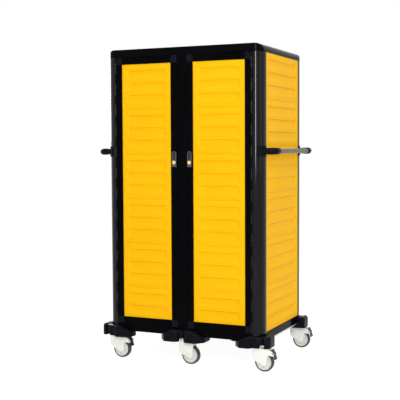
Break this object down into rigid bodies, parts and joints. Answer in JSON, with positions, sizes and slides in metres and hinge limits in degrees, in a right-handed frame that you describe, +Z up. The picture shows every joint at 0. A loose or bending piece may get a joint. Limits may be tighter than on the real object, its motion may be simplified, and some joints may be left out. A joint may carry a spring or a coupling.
{
  "type": "enclosed meal tray cart",
  "caption": "Enclosed meal tray cart with hinged doors, black frame, yellow ribbed panels, push bars, moulded bumpers and swivel casters.",
  "frame": {"origin": "Centre of the footprint, on the ground under the casters.", "axes": "+X to the right seen from the doors, +Y to the back, +Z up."},
  "size_m": [1.04, 0.74, 1.676],
  "materials": {
    "frame_black": "gloss",
    "cover_black": "gloss",
    "panel_yellow": "satin",
    "moulded_black": "satin",
    "bumper_black": "satin",
    "bar_grey": "satin",
    "rack_steel": "satin",
    "hinge_black": "satin",
    "inner_grey": "matte",
    "latch_grey": "satin",
    "lever_grey": "satin",
    "lock_brass": "satin",
    "sill_aluminium": "satin",
    "caster_pale": "satin",
    "hub_pale": "satin",
    "tyre_dark": "matte",
    "pedal_dark": "satin"
  },
  "bodies": {
    "cart_body": {"front_posts": "frame_black", "rear_posts": "frame_black", "front_centre_post": "frame_black", "rear_centre_post": "frame_black", "base_rails": "frame_black", "top_cover": "cover_black", "floor_panel": "inner_grey", "partition": "inner_grey", "side_panel_left": "panel_yellow", "side_panel_right": "panel_yellow", "rear_panels": "panel_yellow", "rack_uprights": "rack_steel", "tray_runners": "rack_steel", "hinge_pins": "rack_steel", "bracket_screws": "rack_steel", "caster_mounts": "rack_steel", "post_hinge_leaves": "hinge_black", "handle_bars": "bar_grey", "handle_brackets": "moulded_black", "corner_bumpers": "bumper_black", "centre_bumpers": "bumper_black", "sill_strips": "sill_aluminium"},
    "left_door": {"left_door_frame": "frame_black", "left_door_corners": "moulded_black", "left_door_panel": "panel_yellow", "left_door_hinge_leaf": "hinge_black", "left_door_latch_plate": "latch_grey"},
    "left_door_lever": {"left_door_lever": "lever_grey"},
    "left_door_lock": {"left_door_lock": "lock_brass"},
    "left_door_bolt": {"left_door_bolt": "rack_steel"},
    "right_door": {"right_door_frame": "frame_black", "right_door_corners": "moulded_black", "right_door_panel": "panel_yellow", "right_door_hinge_leaf": "hinge_black", "right_door_latch_plate": "latch_grey"},
    "right_door_lever": {"right_door_lever": "lever_grey"},
    "right_door_lock": {"right_door_lock": "lock_brass"},
    "right_door_bolt": {"right_door_bolt": "rack_steel"},
    "front_left_swivel": {"front_left_fork": "caster_pale"},
    "front_left_wheel": {"front_left_hub": "hub_pale", "front_left_tyre": "tyre_dark"},
    "front_left_pedal_arm": {"front_left_pedal": "pedal_dark"},
    "front_centre_swivel": {"front_centre_fork": "caster_pale"},
    "front_centre_wheel": {"front_centre_hub": "hub_pale", "front_centre_tyre": "tyre_dark"},
    "front_right_swivel": {"front_right_fork": "caster_pale"},
    "front_right_wheel": {"front_right_hub": "hub_pale", "front_right_tyre": "tyre_dark"},
    "front_right_pedal_arm": {"front_right_pedal": "pedal_dark"},
    "rear_left_swivel": {"rear_left_fork": "caster_pale"},
    "rear_left_wheel": {"rear_left_hub": "hub_pale", "rear_left_tyre": "tyre_dark"},
    "rear_left_pedal_arm": {"rear_left_pedal": "pedal_dark"},
    "rear_centre_swivel": {"rear_centre_fork": "caster_pale"},
    "rear_centre_wheel": {"rear_centre_hub": "hub_pale", "rear_centre_tyre": "tyre_dark"},
    "rear_right_swivel": {"rear_right_fork": "caster_pale"},
    "rear_right_wheel": {"rear_right_hub": "hub_pale", "rear_right_tyre": "tyre_dark"},
    "rear_right_pedal_arm": {"rear_right_pedal": "pedal_dark"}
  },
  "joints": [
    {"name": "left_door_swing", "type": "hinge", "parent": "cart_body", "child": "left_door", "pos_m": [-0.3925, -0.33, 0.913], "axis": [0, 0, -1], "range_deg": [0, 180]},
    {"name": "left_lever_lift", "type": "hinge", "parent": "left_door", "child": "left_door_lever", "pos_m": [-0.0445, -0.3295, 1.119], "axis": [-1, 0, 0], "range_deg": [0, 40], "stiffness_Nm_per_rad": 0.02},
    {"name": "left_lock_turn", "type": "hinge", "parent": "left_door", "child": "left_door_lock", "pos_m": [-0.0445, -0.32, 1.071], "axis": [0, 1, 0], "range_deg": [0, 90]},
    {"name": "left_bolt_throw", "type": "slide", "parent": "left_door", "child": "left_door_bolt", "axis": [1, 0, 0], "range_m": [0, 0.009]},
    {"name": "right_door_swing", "type": "hinge", "parent": "cart_body", "child": "right_door", "pos_m": [0.3925, -0.33, 0.913], "axis": [0, 0, 1], "range_deg": [0, 180]},
    {"name": "right_lever_lift", "type": "hinge", "parent": "right_door", "child": "right_door_lever", "pos_m": [0.0445, -0.3295, 1.119], "axis": [-1, 0, 0], "range_deg": [0, 40], "stiffness_Nm_per_rad": 0.02},
    {"name": "right_lock_turn", "type": "hinge", "parent": "right_door", "child": "right_door_lock", "pos_m": [0.0445, -0.32, 1.071], "axis": [0, 1, 0], "range_deg": [0, 90]},
    {"name": "right_bolt_throw", "type": "slide", "parent": "right_door", "child": "right_door_bolt", "axis": [-1, 0, 0], "range_m": [0, 0.009]},
    {"name": "front_left_swivel_turn", "type": "hinge", "parent": "cart_body", "child": "front_left_swivel", "pos_m": [-0.415, -0.308, 0.125], "axis": [0, 0, 1], "continuous": true},
    {"name": "front_left_wheel_roll", "type": "hinge", "parent": "front_left_swivel", "child": "front_left_wheel", "pos_m": [-0.375, -0.308, 0.05], "axis": [0, 1, 0], "continuous": true},
    {"name": "front_left_pedal_lift", "type": "hinge", "parent": "front_left_swivel", "child": "front_left_pedal_arm", "pos_m": [-0.325, -0.308, 0.097], "axis": [0, -1, 0], "range_deg": [0, 30]},
    {"name": "front_centre_swivel_turn", "type": "hinge", "parent": "cart_body", "child": "front_centre_swivel", "pos_m": [0, -0.308, 0.125], "axis": [0, 0, 1], "continuous": true},
    {"name": "front_centre_wheel_roll", "type": "hinge", "parent": "front_centre_swivel", "child": "front_centre_wheel", "pos_m": [0.04, -0.308, 0.05], "axis": [0, 1, 0], "continuous": true},
    {"name": "front_right_swivel_turn", "type": "hinge", "parent": "cart_body", "child": "front_right_swivel", "pos_m": [0.415, -0.308, 0.125], "axis": [0, 0, 1], "continuous": true},
    {"name": "front_right_wheel_roll", "type": "hinge", "parent": "front_right_swivel", "child": "front_right_wheel", "pos_m": [0.455, -0.308, 0.05], "axis": [0, 1, 0], "continuous": true},
    {"name": "front_right_pedal_lift", "type": "hinge", "parent": "front_right_swivel", "child": "front_right_pedal_arm", "pos_m": [0.505, -0.308, 0.097], "axis": [0, -1, 0], "range_deg": [0, 30]},
    {"name": "rear_left_swivel_turn", "type": "hinge", "parent": "cart_body", "child": "rear_left_swivel", "pos_m": [-0.415, 0.308, 0.125], "axis": [0, 0, 1], "continuous": true},
    {"name": "rear_left_wheel_roll", "type": "hinge", "parent": "rear_left_swivel", "child": "rear_left_wheel", "pos_m": [-0.375, 0.308, 0.05], "axis": [0, 1, 0], "continuous": true},
    {"name": "rear_left_pedal_lift", "type": "hinge", "parent": "rear_left_swivel", "child": "rear_left_pedal_arm", "pos_m": [-0.325, 0.308, 0.097], "axis": [0, -1, 0], "range_deg": [0, 30]},
    {"name": "rear_centre_swivel_turn", "type": "hinge", "parent": "cart_body", "child": "rear_centre_swivel", "pos_m": [0, 0.308, 0.125], "axis": [0, 0, 1], "continuous": true},
    {"name": "rear_centre_wheel_roll", "type": "hinge", "parent": "rear_centre_swivel", "child": "rear_centre_wheel", "pos_m": [0.04, 0.308, 0.05], "axis": [0, 1, 0], "continuous": true},
    {"name": "rear_right_swivel_turn", "type": "hinge", "parent": "cart_body", "child": "rear_right_swivel", "pos_m": [0.415, 0.308, 0.125], "axis": [0, 0, 1], "continuous": true},
    {"name": "rear_right_wheel_roll", "type": "hinge", "parent": "rear_right_swivel", "child": "rear_right_wheel", "pos_m": [0.455, 0.308, 0.05], "axis": [0, 1, 0], "continuous": true},
    {"name": "rear_right_pedal_lift", "type": "hinge", "parent": "rear_right_swivel", "child": "rear_right_pedal_arm", "pos_m": [0.505, 0.308, 0.097], "axis": [0, -1, 0], "range_deg": [0, 30]}
  ],
  "couplings": [
    {"joint": "left_lock_turn", "follows": "left_bolt_throw", "rad_per_m": 174.5},
    {"joint": "right_lock_turn", "follows": "right_bolt_throw", "rad_per_m": 174.5}
  ]
}
